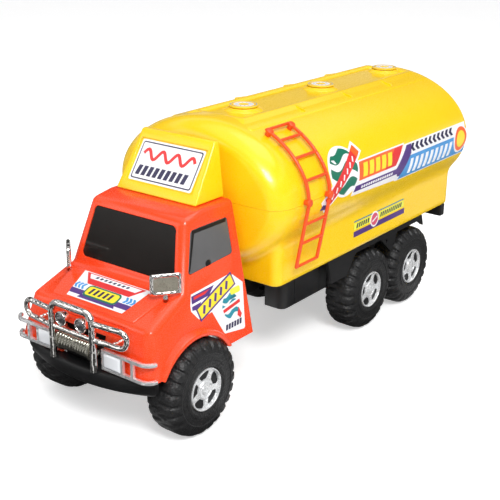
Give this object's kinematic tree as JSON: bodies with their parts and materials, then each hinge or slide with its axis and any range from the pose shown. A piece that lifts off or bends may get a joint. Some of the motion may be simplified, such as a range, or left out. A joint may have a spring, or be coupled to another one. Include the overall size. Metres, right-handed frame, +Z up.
{
  "type": "toy tanker truck",
  "caption": "Toy road tanker: hollow cab, long elliptical tank on a frame, wheels on through axles, guard, ladder, mirrors and a roof sign.",
  "frame": {"origin": "centre of the bounding box in plan, at the ground under the tyres", "axes": "-Y is the direction the truck faces, +Z is up, +X is the truck's left side"},
  "size_m": [0.1416, 0.3574, 0.1718],
  "materials": {
    "cab_orange": "moulded orange-red plastic, glossy",
    "tank_yellow": "moulded yellow plastic, glossy",
    "ladder_orange": "moulded orange plastic, satin",
    "chassis_black": "moulded black plastic, satin",
    "smoked_pane": "dark smoked plastic, glossy",
    "tyre_black": "moulded black plastic with a cast tread",
    "bright_plating": "plastic with bright vacuum plating, mirror-like",
    "steel_wire": "bare drawn steel"
  },
  "bodies": {
    "truck_body": {"cab_screw_left": "steel_wire", "cab_screw_right": "steel_wire", "cab_shell": "cab_orange", "chassis_frame": "chassis_black", "front_bumper": "chassis_black", "front_guard": "bright_plating", "headlamp_strip_left": "bright_plating", "headlamp_strip_right": "bright_plating", "ladder_left": "ladder_orange", "manhole_lid_front": "tank_yellow", "manhole_lid_middle": "tank_yellow", "manhole_lid_rear": "tank_yellow", "rear_bumper": "chassis_black", "rear_mudguard_left": "chassis_black", "rear_mudguard_right": "chassis_black", "roof_sign": "tank_yellow", "side_box_left": "chassis_black", "side_box_right": "chassis_black", "spot_lamp_left": "bright_plating", "spot_lamp_right": "bright_plating", "tank_lower_shell": "tank_yellow", "tank_screw_front_left": "steel_wire", "tank_screw_front_right": "steel_wire", "tank_screw_rear_left": "steel_wire", "tank_screw_rear_right": "steel_wire", "tank_upper_shell": "tank_yellow", "winch_drum": "bright_plating", "window_insert": "smoked_pane"},
    "front_wheels": {"axle_front": "steel_wire", "tyre_front_left": "tyre_black", "rim_front_left": "bright_plating", "tyre_front_right": "tyre_black", "rim_front_right": "bright_plating"},
    "middle_wheels": {"axle_middle": "steel_wire", "tyre_middle_left": "tyre_black", "rim_middle_left": "bright_plating", "tyre_middle_right": "tyre_black", "rim_middle_right": "bright_plating"},
    "rear_wheels": {"axle_rear": "steel_wire", "tyre_rear_left": "tyre_black", "rim_rear_left": "bright_plating", "tyre_rear_right": "tyre_black", "rim_rear_right": "bright_plating"},
    "mirror_arm_left": {"mirror_left": "bright_plating"},
    "mirror_arm_right": {"mirror_right": "bright_plating"}
  },
  "joints": [
    {"name": "front_axle_spin", "type": "hinge", "parent": "truck_body", "child": "front_wheels", "pos_m": [-0.00235, -0.1298, 0.03], "axis": [1, 0, 0], "continuous": true},
    {"name": "middle_axle_spin", "type": "hinge", "parent": "truck_body", "child": "middle_wheels", "pos_m": [-0.00235, 0.0616, 0.03], "axis": [1, 0, 0], "continuous": true},
    {"name": "rear_axle_spin", "type": "hinge", "parent": "truck_body", "child": "rear_wheels", "pos_m": [-0.00235, 0.1216, 0.03], "axis": [1, 0, 0], "continuous": true},
    {"name": "mirror_left_swivel", "type": "hinge", "parent": "truck_body", "child": "mirror_arm_left", "pos_m": [0.03715, -0.1404, 0.0944], "axis": [0, 0, 1], "range_deg": [-45, 8]},
    {"name": "mirror_right_swivel", "type": "hinge", "parent": "truck_body", "child": "mirror_arm_right", "pos_m": [-0.04185, -0.1404, 0.0944], "axis": [0, 0, 1], "range_deg": [-8, 45]}
  ]
}
